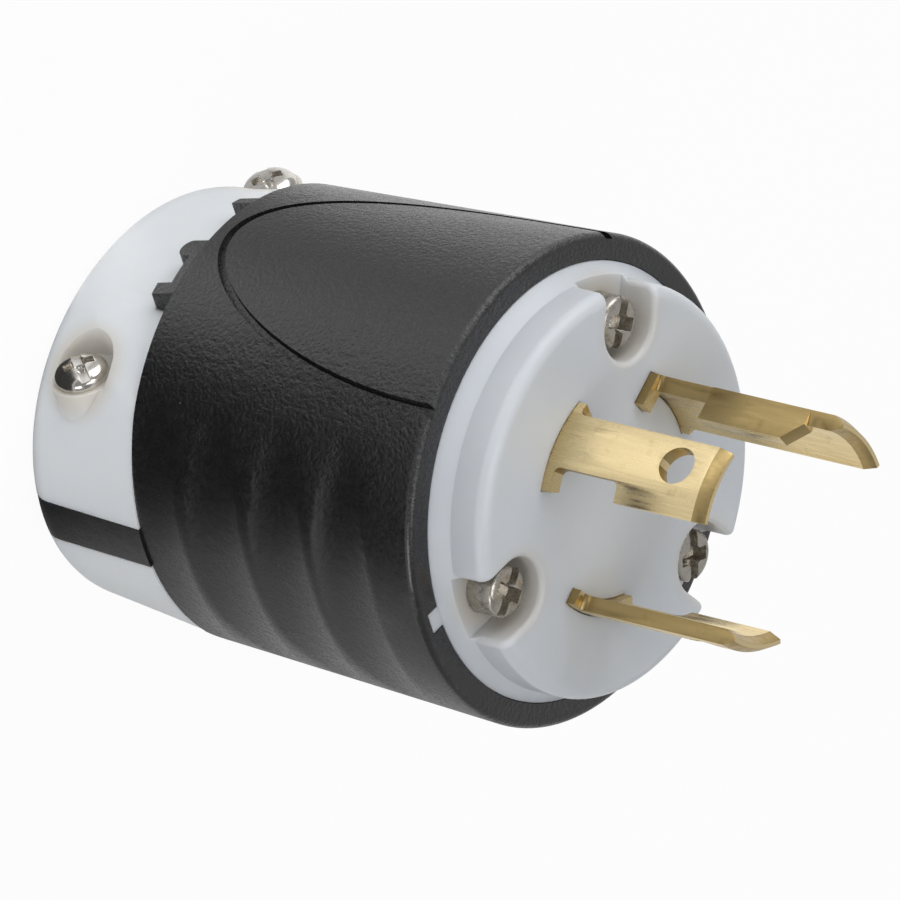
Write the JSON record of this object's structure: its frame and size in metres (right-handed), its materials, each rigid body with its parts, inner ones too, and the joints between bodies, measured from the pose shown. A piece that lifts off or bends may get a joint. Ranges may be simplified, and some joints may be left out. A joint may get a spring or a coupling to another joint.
{
  "type": "locking power plug",
  "caption": "Locking power plug with curved blades of which each has a hook, a moulded housing with finger grips and a two-jaw cord clamp",
  "frame": {"origin": "where the plug's axis meets the flat rear end of the cord clamp, at the middle of the bounding box's base", "axes": "+Z runs along the plug toward the tips of the blades, -Y is the side of the label panel and of the clamp jaw that holds the screw heads, and the two arms between the jaws lie at +X and -X"},
  "size_m": [0.0506, 0.0506, 0.0845],
  "materials": {
    "black_nylon": "fine moulded grain, semi-gloss",
    "white_nylon": "milky and slightly translucent, smooth",
    "seal_rubber": "matte",
    "blade_brass": "stamped, bright, with sheared edges",
    "plated_steel": "nickel-plated"
  },
  "bodies": {
    "root": {"sleeve": "black_nylon", "front_body": "white_nylon", "terminal_carrier": "white_nylon", "upper_jaw": "white_nylon", "lower_jaw": "white_nylon", "cord_seal": "seal_rubber", "hot_blade": "blade_brass", "neutral_blade": "blade_brass", "ground_blade": "blade_brass", "face_screw_1": "plated_steel", "face_screw_2": "plated_steel", "face_screw_3": "plated_steel", "clamp_screw_1": "plated_steel", "clamp_screw_2": "plated_steel", "hot_terminal_screw": "plated_steel", "neutral_terminal_screw": "plated_steel", "ground_terminal_screw": "plated_steel", "hot_wire_clamp": "plated_steel", "neutral_wire_clamp": "plated_steel", "ground_wire_clamp": "plated_steel"}
  },
  "joints": []
}
